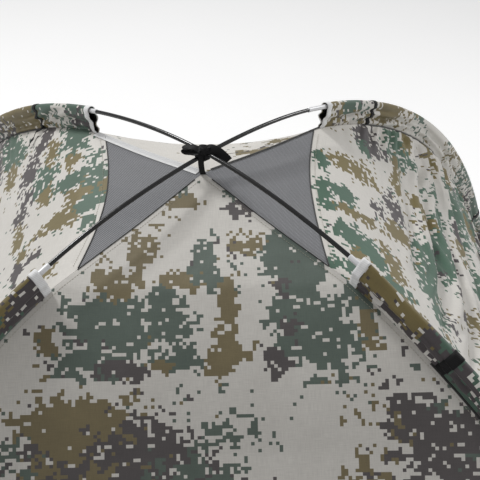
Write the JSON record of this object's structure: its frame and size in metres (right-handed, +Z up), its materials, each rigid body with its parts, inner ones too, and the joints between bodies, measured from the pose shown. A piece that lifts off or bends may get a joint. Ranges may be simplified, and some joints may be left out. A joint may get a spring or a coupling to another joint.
{
  "type": "pop up ground blind",
  "caption": "Square hunting blind of camouflage cloth hung in sleeves on crossed sprung poles, with mesh vents, a lifting door and windows.",
  "frame": {"origin": "on the ground, at the middle of the square footprint", "axes": "+Z up, -Y out of the front wall with the door, +X to the right seen from the front"},
  "size_m": [2.0586, 2.0586, 1.3104],
  "materials": {
    "fibreglass": "gloss black pultruded rod",
    "ferrule": "satin white metal",
    "shock_cord": "braided",
    "steel": "plain",
    "camo": "coated polyester with a square-block camouflage print",
    "mesh": "fine grey insect mesh",
    "white_tape": "white binding tape",
    "black_webbing": "black woven ribbon",
    "zip": "black coil zip"
  },
  "bodies": {
    "blind": {"apex_patch": "white_tape", "apex_strap": "black_webbing", "back_wall": "camo", "crossing_tie": "black_webbing", "door_zip_left": "zip", "door_zip_right": "zip", "ferrule_back_left": "ferrule", "ferrule_back_right": "ferrule", "ferrule_front_left": "ferrule", "ferrule_front_right": "ferrule", "front_wall": "camo", "ground_tab_back_left": "black_webbing", "ground_tab_back_right": "black_webbing", "ground_tab_front_left": "black_webbing", "ground_tab_front_right": "black_webbing", "left_vent_mesh": "mesh", "left_wall": "camo", "mouth_tape_back_left": "white_tape", "mouth_tape_back_right": "white_tape", "mouth_tape_front_left": "white_tape", "mouth_tape_front_right": "white_tape", "pole_a_section_1": "fibreglass", "pole_a_section_2": "fibreglass", "pole_a_section_3": "fibreglass", "pole_a_section_4": "fibreglass", "pole_a_section_5": "fibreglass", "pole_a_section_6": "fibreglass", "pole_a_section_7": "fibreglass", "pole_b_section_1": "fibreglass", "pole_b_section_2": "fibreglass", "pole_b_section_3": "fibreglass", "pole_b_section_4": "fibreglass", "pole_b_section_5": "fibreglass", "pole_b_section_6": "fibreglass", "pole_b_section_7": "fibreglass", "pole_tip_back_left": "steel", "pole_tip_back_right": "steel", "pole_tip_front_left": "steel", "pole_tip_front_right": "steel", "right_vent_mesh": "mesh", "right_wall": "camo", "shock_cord_a": "shock_cord", "shock_cord_b": "shock_cord", "sleeve_back_left": "camo", "sleeve_back_right": "camo", "sleeve_band_back_left": "black_webbing", "sleeve_band_back_right": "black_webbing", "sleeve_band_front_left": "black_webbing", "sleeve_band_front_right": "black_webbing", "sleeve_front_left": "camo", "sleeve_front_right": "camo"},
    "door_flap": {"door_flap": "camo"},
    "left_window_flap": {"left_window_flap": "camo"},
    "right_window_flap": {"right_window_flap": "camo"},
    "back_window_flap": {"back_window_flap": "camo"},
    "door_slider_left": {"door_slider_left": "steel"},
    "door_slider_right": {"door_slider_right": "steel"},
    "door_pull_left": {"door_pull_left": "black_webbing"},
    "door_pull_right": {"door_pull_right": "black_webbing"}
  },
  "joints": [
    {"name": "door_swing", "type": "hinge", "parent": "blind", "child": "door_flap", "pos_m": [0, -0.54991, 0.94065], "axis": [-1, 0, 0], "range_deg": [0, 120]},
    {"name": "left_window_swing", "type": "hinge", "parent": "blind", "child": "left_window_flap", "pos_m": [-0.60098, 0, 0.86057], "axis": [0, 1, 0], "range_deg": [0, 120]},
    {"name": "right_window_swing", "type": "hinge", "parent": "blind", "child": "right_window_flap", "pos_m": [0.60098, 0, 0.86057], "axis": [0, -1, 0], "range_deg": [0, 120]},
    {"name": "back_window_swing", "type": "hinge", "parent": "blind", "child": "back_window_flap", "pos_m": [0, 0.60098, 0.86057], "axis": [1, 0, 0], "range_deg": [0, 120]},
    {"name": "door_slider_left_travel", "type": "hinge", "parent": "blind", "child": "door_slider_left", "pos_m": [0, 2.03962, -0.77596], "axis": [-1, 0, 0], "range_deg": [0, 16.6]},
    {"name": "door_slider_right_travel", "type": "hinge", "parent": "blind", "child": "door_slider_right", "pos_m": [0, 2.03962, -0.77596], "axis": [-1, 0, 0], "range_deg": [0, 16.6]},
    {"name": "door_pull_left_swing", "type": "hinge", "parent": "door_slider_left", "child": "door_pull_left", "pos_m": [-0.3535, -0.95489, 0.07759], "axis": [-1, 0, 0], "range_deg": [0, 150]},
    {"name": "door_pull_right_swing", "type": "hinge", "parent": "door_slider_right", "child": "door_pull_right", "pos_m": [0.3535, -0.95489, 0.07759], "axis": [-1, 0, 0], "range_deg": [0, 150]}
  ]
}
